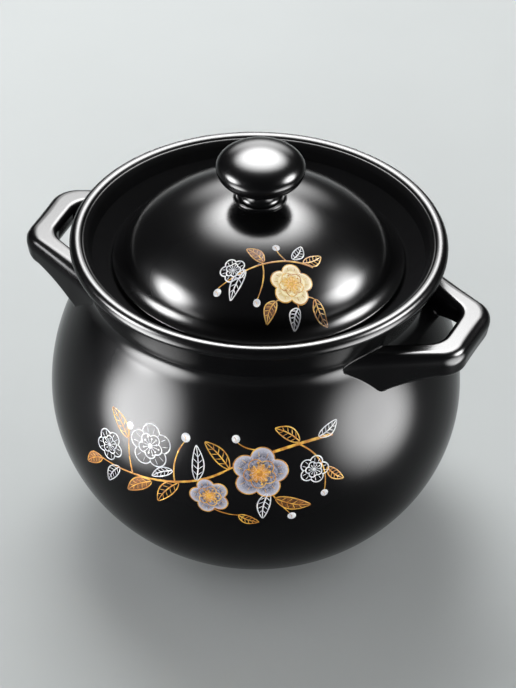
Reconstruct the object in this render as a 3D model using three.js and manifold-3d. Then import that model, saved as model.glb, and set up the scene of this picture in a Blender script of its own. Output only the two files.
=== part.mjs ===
// Glazed stoneware soup pot: a round-bellied vessel with two loop handles, and a domed lid with a ball knob.
// Millimetres, +Z up, the origin at the centre of the foot, the handles along X.
import * as THREE from "three";
import { mergeVertices } from "three/addons/utils/BufferGeometryUtils.js";
import Module from "manifold-3d";

// Vessel
const BODY_HEIGHT = 193; // foot to the top of the lip
const BELLY_RADIUS = 121;
const BELLY_HEIGHT = 89.5; // foot to the widest level
const CREASE_INSET = 23.7; // crease under the collar, inside the widest level
const WALL = 8;
const FLOOR = 8;
const FOOT_RADIUS = 64;
const FOOT_WIDTH = 11;
const FOOT_RECESS = 3;
const FOOT_BEVEL = 4.9; // belly beyond the foot at the top of the bevel between them
const FOOT_EDGE = 1.5; // height of that bevel

// Collar, lip and the gallery that carries the lid
const COLLAR_HEIGHT = 31; // crease above the belly to the top of the lip
const COLLAR_FLARE = 13.7; // lip edge beyond the crease
const CREASE_ROUND = 5;
const LIP_ROUND = 4.4;
const LIP_TURN = 28; // degrees below level where the lip runs into the collar
const SEAT_DROP = 17; // top of the lip down to the lid seat
const SEAT_WIDTH = 8.2;
const SEAT_ROUND = 2;
const GALLERY_WIDTH = 14.8; // sloping wall between the lip and the seat
const THROAT_HEIGHT = 28; // seat down to where the throat meets the belly wall

// Lid
const LID_PLAY = 1; // brim to the foot of the gallery wall, all round
const LID_WALL = 6;
const BRIM_ROUND = 1.6;
const BRIM_SLOPE = 26; // degrees from level
const BRIM_WIDTH = 0.5; // rounded edge to the foot of the flare
const FLARE_ROUND = 13;
const SKIRT_SLOPE = 64.5; // degrees from level
const SKIRT_LENGTH = 0.4; // straight between the flare and the shoulder
const SHOULDER_ROUND = 36;
const CAP_SLOPE = 40.2; // degrees from level where the cap runs into the shoulder

// Knob
const KNOB_RADIUS = 26.2;
const KNOB_THICKNESS = 22.8;
const KNOB_RISE = 22.4; // lid to the widest level of the knob
const KNOB_STEM_RADIUS = 10.5;
const KNOB_BASE_RADIUS = 14.3;
const KNOB_BASE_EDGE = 1.2;
const KNOB_LAND = 1.2; // flat on the lid beyond the knob base

// Handles
const HANDLE_DROP = 24.5; // top of the lip down to the handle's flat top
const HANDLE_REACH = 18.4; // grip beyond the belly
const HANDLE_HALF = 26.7; // half the grip, corner to corner
const HANDLE_SPLAY = 26; // degrees each arm opens towards the vessel
const HANDLE_CORNER = 17;
const GRIP_WIDTH = 17.6;
const GRIP_HEIGHT = 17.7;
const HOLE_HALF = 17;
const HOLE_SPLAY = 28;
const HOLE_CORNER = 9;
const HANDLE_ROUND = 4.4;
const ROOT_HEIGHT = 23; // depth of an arm where it meets the vessel
const ROOT_SINK = 0.7; // share of the crease radius at which the arms begin, inside the wall

// Fits
const JOINT_GAP = 0.3; // collar on the belly, lid on its seat, knob on its land
const ROOT_GAP = 0.4; // handle root to the vessel, measured level

// Facets
const TURN_STEPS = 48;
const ARC_STEPS = 3;
const LONG_ARC_STEPS = 7;
const EDGE_STEPS = 3;
const ARM_STEPS = 6;

const wasm = await Module();
wasm.setup();

const glaze = new THREE.MeshStandardMaterial({ color: 0x131314, roughness: 0.25, metalness: 0 });

const seatZ = BODY_HEIGHT - SEAT_DROP;
const throatZ = seatZ - THROAT_HEIGHT;
const creaseZ = BODY_HEIGHT - COLLAR_HEIGHT;
const creaseRadius = BELLY_RADIUS - CREASE_INSET;
const bellyFall = ellipseHalf(BELLY_HEIGHT - FOOT_EDGE, FOOT_RADIUS + FOOT_BEVEL);
const bellyRise = ellipseHalf(creaseZ - BELLY_HEIGHT, creaseRadius);
const lipRadius = creaseRadius + COLLAR_FLARE;
const lipCentre = new THREE.Vector2(lipRadius - LIP_ROUND, BODY_HEIGHT - LIP_ROUND);
const lipInner = lipCentre.x - LIP_ROUND;
const seatOuter = lipInner - GALLERY_WIDTH;
const seatInner = seatOuter - SEAT_WIDTH;
const handleTop = BODY_HEIGHT - HANDLE_DROP;
const gripOuter = BELLY_RADIUS + HANDLE_REACH;

// Half height of the belly ellipse that has a radius at a distance above or below the widest level.
function ellipseHalf(distance, radius) {
  return distance / Math.sqrt(1 - (radius / BELLY_RADIUS) ** 2);
}

// Radius of the belly wall at a height, set in from the outside by a thickness.
function bellyRadius(z, inset) {
  const half = (z < BELLY_HEIGHT ? bellyFall : bellyRise) - inset;
  return (BELLY_RADIUS - inset) * Math.sqrt(1 - ((z - BELLY_HEIGHT) / half) ** 2);
}

// Profile points along the belly wall between two heights, evenly spread in angle.
function bellyArc(fromZ, toZ, inset) {
  const angleAt = (z) => Math.asin((z - BELLY_HEIGHT) / ((z < BELLY_HEIGHT ? bellyFall : bellyRise) - inset));
  const heightAt = (a) => BELLY_HEIGHT + ((a < 0 ? bellyFall : bellyRise) - inset) * Math.sin(a);
  const from = angleAt(fromZ);
  const to = angleAt(toZ);
  const steps = 2 * LONG_ARC_STEPS;
  return Array.from({ length: steps + 1 }, (_, i) => {
    const z = heightAt(from + ((to - from) * i) / steps);
    return new THREE.Vector2(bellyRadius(z, inset), z);
  });
}

// Profile points on an ellipse arc between two angles in degrees.
function arc(centre, radiusX, radiusY, from, to, steps) {
  return Array.from({ length: steps + 1 }, (_, i) => {
    const a = THREE.MathUtils.degToRad(from + ((to - from) * i) / steps);
    return new THREE.Vector2(centre.x + radiusX * Math.cos(a), centre.y + radiusY * Math.sin(a));
  });
}

// Profile points of a corner rounded off between two points on its sides.
function blend(from, corner, to) {
  return new THREE.QuadraticBezierCurve(from, corner, to).getPoints(2 * ARC_STEPS);
}

// Solid of revolution about Z from a profile of radius and height.
function turned(profile) {
  return new THREE.LatheGeometry(profile, TURN_STEPS).rotateX(Math.PI / 2);
}

function solidOf(geometry) {
  const bare = geometry.clone();
  bare.deleteAttribute("normal");
  bare.deleteAttribute("uv");
  const merged = mergeVertices(bare);
  const vertProperties = new Float32Array(merged.attributes.position.array);
  const triVerts = new Uint32Array(merged.index.array);
  return new wasm.Manifold(new wasm.Mesh({ numProp: 3, vertProperties, triVerts }));
}

function geometryOf(solid) {
  const { vertProperties, triVerts } = solid.getMesh();
  const geometry = new THREE.BufferGeometry();
  geometry.setAttribute("position", new THREE.BufferAttribute(new Float32Array(vertProperties), 3));
  geometry.setIndex(new THREE.BufferAttribute(new Uint32Array(triVerts), 1));
  geometry.computeVertexNormals();
  return geometry;
}

function piece(name, geometry) {
  const mesh = new THREE.Mesh(geometry, glaze);
  mesh.name = name;
  return mesh;
}

// Outside of the vessel: the belly from the foot to the crease, and the collar on to the lip's inner edge.
function outerProfiles() {
  const crease = new THREE.Vector2(creaseRadius, creaseZ);
  const lip = arc(lipCentre, LIP_ROUND, LIP_ROUND, -LIP_TURN, 180, 3 * ARC_STEPS);
  const below = new THREE.Vector2(bellyRadius(creaseZ - CREASE_ROUND, 0), creaseZ - CREASE_ROUND);
  const above = crease.clone().lerp(lip[0], CREASE_ROUND / crease.distanceTo(lip[0]));
  const bend = blend(below, crease, above);
  return {
    belly: [
      new THREE.Vector2(FOOT_RADIUS, 0),
      ...bellyArc(FOOT_EDGE, below.y, 0),
      ...bend.slice(1, ARC_STEPS + 1),
    ],
    collar: [...bend.slice(ARC_STEPS), ...lip],
  };
}

// Point of the throat wall at a height, on the straight line from the seat's edge to the inside of the belly.
function throatAt(z) {
  const top = new THREE.Vector2(seatInner, seatZ - SEAT_ROUND);
  const foot = new THREE.Vector2(bellyRadius(throatZ, WALL), throatZ);
  return top.clone().lerp(foot, (top.y - z) / (top.y - foot.y));
}

// Belly with its recessed foot and floor, up to the crease.
function belly() {
  const floorZ = FOOT_RECESS + FLOOR;
  const recessRadius = FOOT_RADIUS - FOOT_WIDTH;
  const outside = outerProfiles().belly;
  return turned([
    new THREE.Vector2(0, FOOT_RECESS),
    new THREE.Vector2(recessRadius - FOOT_RECESS, FOOT_RECESS),
    new THREE.Vector2(recessRadius, 0),
    ...outside,
    throatAt(outside.at(-1).y),
    ...bellyArc(throatZ, floorZ, WALL),
    new THREE.Vector2(0, floorZ),
  ]);
}

// Collar with its lip, gallery wall and lid seat, standing on the belly.
function collar() {
  const seatEdge = new THREE.Vector2(seatInner + SEAT_ROUND, seatZ - SEAT_ROUND);
  const [crease, ...outside] = outerProfiles().collar;
  const foot = new THREE.Vector2(crease.x, crease.y + JOINT_GAP);
  const throat = throatAt(foot.y);
  return turned([
    throat,
    foot,
    ...outside,
    new THREE.Vector2(seatOuter, seatZ),
    ...arc(seatEdge, SEAT_ROUND, SEAT_ROUND, 90, 180, ARC_STEPS),
    throat,
  ]);
}

// Filled outside of the vessel, a gap larger, which the handle roots are cut to.
function vesselEnvelope() {
  const outside = outerProfiles();
  const line = [...outside.belly, ...outside.collar.slice(1)];
  const grown = line.map((p) => new THREE.Vector2(p.x + ROOT_GAP, p.y));
  const top = grown.at(-1).y;
  return turned([new THREE.Vector2(0, 0), ...grown, new THREE.Vector2(0, top)]);
}

// Lid section from the brim's underside, which lies at height 0, up to the land for the knob.
function lidSection() {
  const slope = THREE.MathUtils.degToRad(SKIRT_SLOPE);
  const brimSlope = THREE.MathUtils.degToRad(BRIM_SLOPE);
  const brimRadius = seatOuter - LID_PLAY;
  const brimCentre = new THREE.Vector2(brimRadius - BRIM_ROUND, BRIM_ROUND);
  const brimEdge = arc(brimCentre, BRIM_ROUND, BRIM_ROUND, -90, 90 - BRIM_SLOPE, 2 * ARC_STEPS);
  const brimRise = new THREE.Vector2(-Math.cos(brimSlope), Math.sin(brimSlope)).multiplyScalar(BRIM_WIDTH);
  const brimNormal = new THREE.Vector2(Math.sin(brimSlope), Math.cos(brimSlope));
  const flareCentre = brimEdge.at(-1).clone().add(brimRise).addScaledVector(brimNormal, FLARE_ROUND);
  const flare = arc(flareCentre, FLARE_ROUND, FLARE_ROUND, -90 - BRIM_SLOPE, -90 - SKIRT_SLOPE, ARC_STEPS);
  const skirtRise = new THREE.Vector2(-Math.cos(slope), Math.sin(slope)).multiplyScalar(SKIRT_LENGTH);
  const skirtTop = flare.at(-1).clone().add(skirtRise);
  const skirtNormal = new THREE.Vector2(Math.sin(slope), Math.cos(slope));
  const shoulderCentre = skirtTop.clone().addScaledVector(skirtNormal, -SHOULDER_ROUND);
  const capSlope = THREE.MathUtils.degToRad(CAP_SLOPE);
  const capNormal = new THREE.Vector2(Math.sin(capSlope), Math.cos(capSlope));
  const capEdge = shoulderCentre.clone().addScaledVector(capNormal, SHOULDER_ROUND);
  const capRadius = capEdge.x / capNormal.x;
  const capCentre = new THREE.Vector2(0, capEdge.y - capRadius * capNormal.y);
  const landRadius = KNOB_BASE_RADIUS + KNOB_LAND;
  const landZ = capCentre.y + Math.sqrt(capRadius ** 2 - landRadius ** 2);
  const landSlope = THREE.MathUtils.radToDeg(Math.asin(landRadius / capRadius));
  return {
    landZ,
    landRadius,
    outside: [
      ...brimEdge,
      ...flare,
      ...arc(shoulderCentre, SHOULDER_ROUND, SHOULDER_ROUND, 90 - SKIRT_SLOPE, 90 - CAP_SLOPE, ARC_STEPS),
      ...arc(capCentre, capRadius, capRadius, 90 - CAP_SLOPE, 90 - landSlope, LONG_ARC_STEPS).slice(1),
    ],
    inside: [
      ...arc(capCentre, capRadius - LID_WALL, capRadius - LID_WALL, 90, 90 - CAP_SLOPE, LONG_ARC_STEPS),
      ...arc(
        shoulderCentre,
        SHOULDER_ROUND - LID_WALL,
        SHOULDER_ROUND - LID_WALL,
        90 - CAP_SLOPE,
        90 - SKIRT_SLOPE,
        ARC_STEPS,
      ).slice(1),
    ],
  };
}

// Lid wall: hollow dome, flared skirt and rounded brim, whose flat underside rests on the seat.
function lidShell(section) {
  const { inside, outside, landZ } = section;
  const last = inside.at(-1);
  const slope = THREE.MathUtils.degToRad(SKIRT_SLOPE);
  const brimInner = new THREE.Vector2(last.x + last.y / Math.tan(slope), 0);
  const brimOuter = new THREE.Vector2(outside[0].x, 0);
  return turned([...inside, brimInner, brimOuter, ...outside, new THREE.Vector2(0, landZ)]);
}

// Knob: a flattened ball on a short stem that spreads to a round base, standing at height 0.
function knob() {
  const half = KNOB_THICKNESS / 2;
  const ball = new THREE.Vector2(0, KNOB_RISE);
  const underAngle = -THREE.MathUtils.radToDeg(Math.acos(KNOB_STEM_RADIUS / KNOB_RADIUS));
  const ballArc = arc(ball, KNOB_RADIUS, half, underAngle, 90, LONG_ARC_STEPS);
  const edge = new THREE.Vector2(KNOB_BASE_RADIUS, KNOB_BASE_EDGE);
  const waist = new THREE.Vector2(KNOB_STEM_RADIUS, ballArc[0].y);
  const stem = blend(edge, new THREE.Vector2(KNOB_STEM_RADIUS, KNOB_BASE_EDGE), waist);
  const base = [new THREE.Vector2(0, 0), new THREE.Vector2(KNOB_BASE_RADIUS, 0)];
  return turned([...base, ...stem.slice(0, -1), ...ballArc]);
}

// Plan line of one side of a handle loop: arm, rounded corner, grip, rounded corner, arm.
function loopLine(reach, half, splay, corner) {
  const angle = THREE.MathUtils.degToRad(splay);
  const start = creaseRadius * ROOT_SINK;
  const turn = 90 - splay;
  const trim = corner * Math.tan(THREE.MathUtils.degToRad(turn / 2));
  const centre = new THREE.Vector2(reach - corner, half - trim);
  const bend = arc(centre, corner, corner, 0, turn, ARC_STEPS);
  const root = new THREE.Vector2(start, half + (reach - start) * Math.tan(angle));
  const elbow = bend.at(-1);
  const arm = Array.from({ length: ARM_STEPS }, (_, i) => elbow.clone().lerp(root, (i + 1) / ARM_STEPS));
  const far = [...bend, ...arm];
  const near = far.map((p) => new THREE.Vector2(p.x, -p.y)).reverse();
  return [...near, ...far];
}

// Height of the underside at a plan distance from the axis: level under the grip, falling along the arms.
function underside(x) {
  const gripInner = gripOuter - GRIP_WIDTH;
  const run = Math.max(gripInner - x, 0) / (gripInner - creaseRadius);
  return handleTop - GRIP_HEIGHT - ((ROOT_HEIGHT - GRIP_HEIGHT) * (run + run ** 2)) / 2;
}

// Rounded oblong section of a handle between its inner and outer plan points.
function handleSection(inner, outer) {
  const middle = inner.clone().lerp(outer, 0.5);
  const across = outer.clone().sub(inner).normalize();
  const low = underside(middle.x);
  const halfWidth = inner.distanceTo(outer) / 2;
  const halfHeight = (handleTop - low) / 2;
  const centreZ = low + halfHeight;
  const corner = new THREE.Vector2(halfWidth - HANDLE_ROUND, halfHeight - HANDLE_ROUND);
  const quarters = [
    [1, 1, 0],
    [-1, 1, 90],
    [-1, -1, 180],
    [1, -1, 270],
  ];
  const ring = quarters.flatMap(([signX, signZ, from]) => {
    const centre = new THREE.Vector2(signX * corner.x, signZ * corner.y);
    return arc(centre, HANDLE_ROUND, HANDLE_ROUND, from, from + 90, EDGE_STEPS);
  });
  return ring.map((p) => {
    const plan = middle.clone().addScaledVector(across, p.x);
    return new THREE.Vector3(plan.x, plan.y, centreZ + p.y);
  });
}

// Closed skin over a row of matching rings, with a fan over each end.
function loft(rings) {
  const count = rings[0].length;
  const points = rings.flat();
  const index = [];
  for (let i = 0; i + 1 < rings.length; i++) {
    for (let j = 0; j < count; j++) {
      const a = i * count + j;
      const b = i * count + ((j + 1) % count);
      index.push(a, b + count, b, a, a + count, b + count);
    }
  }
  const last = points.length - count;
  for (let j = 1; j + 1 < count; j++) {
    index.push(0, j, j + 1, last, last + j + 1, last + j);
  }
  const geometry = new THREE.BufferGeometry().setFromPoints(points);
  geometry.setIndex(index);
  return geometry;
}

// Loop handle along +X, its two roots cut to the vessel's outside.
function handle() {
  const outer = loopLine(gripOuter, HANDLE_HALF, HANDLE_SPLAY, HANDLE_CORNER);
  const inner = loopLine(gripOuter - GRIP_WIDTH, HOLE_HALF, HOLE_SPLAY, HOLE_CORNER);
  const rings = inner.map((p, i) => handleSection(p, outer[i]));
  return geometryOf(solidOf(loft(rings)).subtract(solidOf(vesselEnvelope())));
}

const handleGeometry = handle();
const leftHandle = piece("left_handle", handleGeometry);
leftHandle.rotation.z = Math.PI;

const section = lidSection();
const lidKnob = piece("lid_knob", knob());
lidKnob.position.z = section.landZ + JOINT_GAP;
const lid = new THREE.Group();
lid.position.z = seatZ + JOINT_GAP;
lid.add(piece("lid", lidShell(section)), lidKnob);

const pot = new THREE.Group();
pot.add(piece("pot_belly", belly()), piece("pot_collar", collar()));
pot.add(piece("right_handle", handleGeometry), leftHandle, lid);

export default pot;
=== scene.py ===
"""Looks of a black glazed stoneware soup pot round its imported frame: fine surfaces, glaze and print."""
import math

import bmesh
import bpy
import numpy as np
from mathutils import Matrix, Vector


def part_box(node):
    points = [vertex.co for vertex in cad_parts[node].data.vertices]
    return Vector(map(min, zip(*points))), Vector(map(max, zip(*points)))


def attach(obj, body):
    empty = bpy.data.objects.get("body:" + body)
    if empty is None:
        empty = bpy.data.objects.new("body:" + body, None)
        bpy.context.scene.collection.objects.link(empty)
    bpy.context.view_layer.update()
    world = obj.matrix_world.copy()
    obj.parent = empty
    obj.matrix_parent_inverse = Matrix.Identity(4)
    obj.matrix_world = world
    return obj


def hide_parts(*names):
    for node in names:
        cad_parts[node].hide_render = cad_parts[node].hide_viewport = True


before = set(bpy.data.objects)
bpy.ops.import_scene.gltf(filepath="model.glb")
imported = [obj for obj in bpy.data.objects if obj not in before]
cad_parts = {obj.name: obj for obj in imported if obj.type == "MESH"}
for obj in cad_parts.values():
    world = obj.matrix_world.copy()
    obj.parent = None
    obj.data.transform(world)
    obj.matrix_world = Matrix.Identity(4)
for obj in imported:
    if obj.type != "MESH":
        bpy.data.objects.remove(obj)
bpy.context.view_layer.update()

# Millimetres to Blender's metres
MM = 0.001

# Points as close as this, in millimetres, are one point: on an outline, and in a mesh
SAME_POINT = 1e-6
WELD = 1e-4


def node_box(node):
    """Lowest and highest corner of a solid at rest, in millimetres."""
    low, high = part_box(node)
    return np.array(low) / MM, np.array(high) / MM


# Vessel, in millimetres and degrees
LIP_TOP = node_box("pot_collar")[1][2]
BELLY_RADIUS = 121.0
BELLY_HEIGHT = 89.5
CREASE_RADIUS = 97.3
CREASE_DROP = 31.0
CREASE_ROUND = 7.0
COLLAR_FLARE = 13.7
LIP_ROUND = 4.4
LIP_TURN = 28.0
WALL = 8.0
FOOT_RADIUS = 64.0
FOOT_TOP_RADIUS = 68.9
FOOT_WIDTH = 11.0
FOOT_RECESS = 3.0
FOOT_EDGE = 1.5
FOOT_SOFT = 1.0
FLOOR_TOP = 11.0
FLOOR_ROUND = 6.0
SEAT_DROP = 17.0
SEAT_WIDTH = 8.2
SEAT_ROUND = 2.0
GALLERY_WIDTH = 14.8
GALLERY_ROUND = 1.5
LEDGE_TURN = 42.0
LEDGE_ROUND = 1.3
LEDGE_REST = 21.0
LEDGE_EDGE = 0.6
LEDGE_SLOPE = 38.0
GALLERY_SLOPE = 66.0
GALLERY_BEND = 8.0
GALLERY_DROP = 10.0
GALLERY_CORNER = 0.15
THROAT_HEIGHT = 28.0

# Shares of the foot's bevel between which it is straight
BEVEL_START = 0.3
BEVEL_STOP = 0.9

# Lid
LID_BASE = node_box("lid")[0][2]
BRIM_RADIUS = node_box("lid")[1][0]
LID_WALL = 6.0
BRIM_ROUND = 1.6
BRIM_SLOPE = 26.0
BRIM_WIDTH = 0.5
FLARE_ROUND = 13.0
SKIRT_SLOPE = 64.5
SKIRT_LENGTH = 0.4
SKIRT_EDGE = 1.5
SHOULDER_ROUND = 36.0
CAP_SLOPE = 40.2

# Knob
KNOB_BASE = node_box("lid_knob")[0][2]
KNOB_DIP = 0.6
KNOB_TOP = node_box("lid_knob")[1][2] - KNOB_DIP
KNOB_RADIUS = node_box("lid_knob")[1][0]
KNOB_CROWN = 12.2
KNOB_UNDER = 13.8
KNOB_STEM_RADIUS = 10.5
KNOB_BASE_RADIUS = 14.3
KNOB_BASE_EDGE = 1.2
KNOB_FILLET = 1.6
KNOB_SUNK = 2.0

# Handles: undercut and roundings take most of the allowance off the reach again
HANDLE_TOP = node_box("right_handle")[1][2]
REACH_ALLOWANCE = 1.6
GRIP_REACH = node_box("right_handle")[1][0] + REACH_ALLOWANCE
GRIP_WIDTH = 18.0
GRIP_HEIGHT = 17.7
HANDLE_HALF = 26.7
HANDLE_SPLAY = 26.0
HANDLE_CORNER = 17.0
HOLE_HALF = 17.0
HOLE_SPLAY = 28.0
HOLE_CORNER = 13.0
OUTER_TOP_ROUND = 7.8
INNER_TOP_ROUND = 4.2
INNER_LOW_ROUND = 9.5
OUTER_LOW_ROUND = 4.6
UNDERCUT = 3.5
ROOT_UNDERCUT = 1.5
ROOT_HEIGHT = 26.4
ROOT_FILLET = 0.9
OUTER_FILLET = 0.7
ROOT_FLARE = 0.6
FLARE_POWER = 4
ROOT_START = 68.0
ROOT_SINK = 0.8

# The left handle sits a little higher and further out
LEFT_LIFT = 1.8
LEFT_REACH = 1.4

# Where the finish changes: painted shade in the gallery, a black with hardly a sheen that stays dark as
# in shade, and bare clay above the lowest points of vessel and lid
PAINTED_SHADE_RADIUS = 102.3
PAINTED_SHADE_BELOW_SEAT = 0.1
BARE_FOOT = 0.3
BARE_BRIM = 0.05

# Steps of the grids, and the half step over which slopes are measured
TURN_STEPS = 256
FEW = 6
TIGHT = 12
LONG = 48
SLOPE_STEP = 0.5

crease_z = LIP_TOP - CREASE_DROP
lip_centre = np.array([CREASE_RADIUS + COLLAR_FLARE - LIP_ROUND, LIP_TOP - LIP_ROUND])
seat_z = LIP_TOP - SEAT_DROP
seat_outer = lip_centre[0] - LIP_ROUND - GALLERY_WIDTH
seat_inner = seat_outer - SEAT_WIDTH


# Curves and surfaces
def arc(centre, radii, start, stop, count):
    """Points on an upright ellipse about centre, its radii across and up, between angles in degrees."""
    angle = np.radians(np.linspace(start, stop, count))
    across = centre[0] + radii[0] * np.cos(angle)
    return np.stack([across, centre[1] + radii[1] * np.sin(angle)], axis=1)


def bend(start, corner, stop, count):
    """Quadratic curve from start to stop, leaving and arriving along the lines that meet in corner."""
    t = np.linspace(0, 1, count)[:, None]
    start, corner, stop = np.asarray(start), np.asarray(corner), np.asarray(stop)
    return (1 - t) ** 2 * start + 2 * t * (1 - t) * corner + t ** 2 * stop


def run(start, stop, count):
    """Evenly spaced points on a straight line."""
    t = np.linspace(0, 1, count)[:, None]
    return (1 - t) * np.asarray(start, float) + t * np.asarray(stop, float)


def chain(*parts):
    """One outline from parts laid end to end, without the points that two parts share."""
    points = np.concatenate(parts)
    step = np.linalg.norm(np.diff(points, axis=0), axis=1)
    return points[np.concatenate([[True], step > SAME_POINT])]


def turned(profile):
    """Surface of revolution: each profile point, a radius and a height, goes round Z in equal steps."""
    angle = np.linspace(0, 2 * np.pi, TURN_STEPS + 1)
    radius, height = profile[:, :1], profile[:, 1:]
    return np.stack([radius * np.cos(angle), radius * np.sin(angle), height + 0 * angle], axis=2)


def skin(name, grids, material, marks=None):
    """Mesh over grids of points in millimetres: four neighbours in rows and columns make a face,
    outward where columns cross rows. Points that fall together, at seams and poles, are merged.

    marks gives each grid an array of the same rows and columns, kept as the point attribute 'mark'."""
    corners, faces, start = [], [], 0
    for grid in grids:
        rows, columns = grid.shape[:2]
        index = start + np.arange(rows * columns).reshape(rows, columns)
        quads = np.stack([index[:-1, :-1], index[:-1, 1:], index[1:, 1:], index[1:, :-1]], axis=2)
        corners.append(grid.reshape(-1, 3) * MM)
        faces.append(quads.reshape(-1, 4))
        start += rows * columns
    mesh = bpy.data.meshes.new(name)
    mesh.from_pydata(np.concatenate(corners).tolist(), [], np.concatenate(faces).tolist())
    if marks is not None:
        values = np.concatenate([mark.ravel() for mark in marks]).astype(np.float32)
        mesh.attributes.new("mark", "FLOAT", "POINT").data.foreach_set("value", values)
    work = bmesh.new()
    work.from_mesh(mesh)
    bmesh.ops.remove_doubles(work, verts=work.verts, dist=WELD * MM)
    work.to_mesh(mesh)
    work.free()
    mesh.polygons.foreach_set("use_smooth", np.ones(len(mesh.polygons), bool))
    mesh.materials.append(material)
    piece = bpy.data.objects.new(name, mesh)
    bpy.context.scene.collection.objects.link(piece)
    return piece


# Vessel
def belly_half(distance, radius):
    """Half height of an ellipse as wide as the belly, with a radius at a distance from the middle."""
    return distance / math.sqrt(1 - (radius / BELLY_RADIUS) ** 2)


belly_fall = belly_half(BELLY_HEIGHT - FOOT_EDGE, FOOT_TOP_RADIUS)
belly_rise = belly_half(crease_z - BELLY_HEIGHT, CREASE_RADIUS)


def belly_curve(from_z, to_z, inset, count):
    """Belly wall between two heights: a lower and an upper half ellipse, both set in by a thickness."""
    def angle(z):
        half = (belly_fall if z < BELLY_HEIGHT else belly_rise) - inset
        return math.asin((z - BELLY_HEIGHT) / half)

    swing = np.linspace(angle(from_z), angle(to_z), count)
    half = np.where(swing < 0, belly_fall, belly_rise) - inset
    radius = (BELLY_RADIUS - inset) * np.cos(swing)
    return np.stack([radius, BELLY_HEIGHT + half * np.sin(swing)], axis=1)


def wall_outside():
    """Outside of the vessel, rising from the top of the foot's bevel to the lip's outermost point."""
    crease = np.array([CREASE_RADIUS, crease_z])
    lip = arc(lip_centre, (LIP_ROUND, LIP_ROUND), -LIP_TURN, 0, TIGHT)
    below = belly_curve(crease_z - CREASE_ROUND, crease_z, 0, 2)[0]
    collar = lip[0] - crease
    above = crease + collar * CREASE_ROUND / np.linalg.norm(collar)
    return chain(
        belly_curve(FOOT_EDGE, below[1], 0, 2 * LONG),
        bend(below, crease, above, TIGHT),
        run(above, lip[0], TIGHT),
        lip,
    )


wall_line = wall_outside()


def wall_radius(height):
    """Radius of the vessel's outside at each height."""
    return np.interp(height, wall_line[:, 1], wall_line[:, 0])


def wall_normal(height):
    """Radial and upward part of the outside's normal at each height, from the wall line's slope."""
    slope = (wall_radius(height + SLOPE_STEP) - wall_radius(height - SLOPE_STEP)) / (2 * SLOPE_STEP)
    length = np.hypot(1, slope)
    return 1 / length, -slope / length


def inner_lip():
    """Lip from its outermost point over the crown, a narrow ledge, and the gallery down to the seat.

    Below the ledge the gallery turns steep along an arc, falls straight, and slopes on to the seat."""
    crown = arc(lip_centre, (LIP_ROUND, LIP_ROUND), 0, 90 + LEDGE_TURN, 2 * TIGHT)
    lean = math.radians(LEDGE_TURN)
    hollow = crown[-1] + LEDGE_ROUND * np.array([-math.sin(lean), math.cos(lean)])
    ledge = arc(hollow, (LEDGE_ROUND, LEDGE_ROUND), LEDGE_TURN - 90, LEDGE_REST - 90, TIGHT)
    rest = math.radians(LEDGE_REST)
    edge = ledge[-1] - LEDGE_EDGE * np.array([math.cos(rest), math.sin(rest)])
    slope = math.radians(LEDGE_SLOPE)
    below = edge - LEDGE_EDGE * np.array([math.cos(slope), math.sin(slope)])
    middle = below - GALLERY_BEND * np.array([-math.sin(slope), math.cos(slope)])
    turn = arc(middle, (GALLERY_BEND, GALLERY_BEND), 90 + LEDGE_SLOPE, 90 + GALLERY_SLOPE, 2 * TIGHT)
    steep = math.radians(GALLERY_SLOPE)
    fall = np.array([-math.cos(steep), -math.sin(steep)])
    corner = turn[-1] + (turn[-1][1] - LIP_TOP + GALLERY_DROP) / math.sin(steep) * fall
    seat = np.array([seat_outer, seat_z])
    wall = (seat - corner) / np.linalg.norm(seat - corner)
    above = seat - GALLERY_ROUND * wall
    return chain(
        crown,
        ledge,
        bend(ledge[-1], edge, below, TIGHT),
        turn,
        bend(corner - GALLERY_CORNER * fall, corner, corner + GALLERY_CORNER * wall, TIGHT),
        run(corner + GALLERY_CORNER * wall, above, TIGHT),
        bend(above, seat, seat - (GALLERY_ROUND, 0), TIGHT),
    )


def vessel_grid():
    """Whole vessel turned from one outline: recess, foot, outside, lip, gallery, seat, throat, inside
    and floor."""
    recess = FOOT_RADIUS - FOOT_WIDTH
    ceiling = recess - FOOT_RECESS
    foot = np.array([FOOT_RADIUS, 0])
    bevel = np.array([FOOT_TOP_RADIUS - FOOT_RADIUS, FOOT_EDGE])
    seat_edge = (seat_inner + SEAT_ROUND, seat_z - SEAT_ROUND)
    inside = belly_curve(seat_z - THROAT_HEIGHT, FLOOR_TOP, WALL, LONG)
    floor_corner = inside[-1] - (FLOOR_ROUND, 0)
    floor_edge = floor_corner - (FLOOR_ROUND, 0)
    return turned(chain(
        run((0, FOOT_RECESS), (ceiling - FOOT_SOFT, FOOT_RECESS), TIGHT),
        bend((ceiling - FOOT_SOFT, FOOT_RECESS), (ceiling, FOOT_RECESS),
             (ceiling + FOOT_SOFT, FOOT_RECESS - FOOT_SOFT), FEW),
        bend((recess - FOOT_SOFT, FOOT_SOFT), (recess, 0), (recess + FOOT_SOFT, 0), FEW),
        run((recess + FOOT_SOFT, 0), (FOOT_RADIUS - FOOT_SOFT, 0), FEW),
        bend((FOOT_RADIUS - FOOT_SOFT, 0), foot, foot + BEVEL_START * bevel, FEW),
        run(foot + BEVEL_START * bevel, foot + BEVEL_STOP * bevel, FEW),
        wall_line,
        inner_lip(),
        run((seat_outer - GALLERY_ROUND, seat_z), (seat_inner + SEAT_ROUND, seat_z), FEW),
        arc(seat_edge, (SEAT_ROUND, SEAT_ROUND), 90, 180, TIGHT),
        run((seat_inner, seat_z - SEAT_ROUND), inside[0], TIGHT),
        inside,
        bend(inside[-1], floor_corner, floor_edge, FEW),
        run(floor_edge, (0, FLOOR_TOP), TIGHT),
    ))


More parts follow.
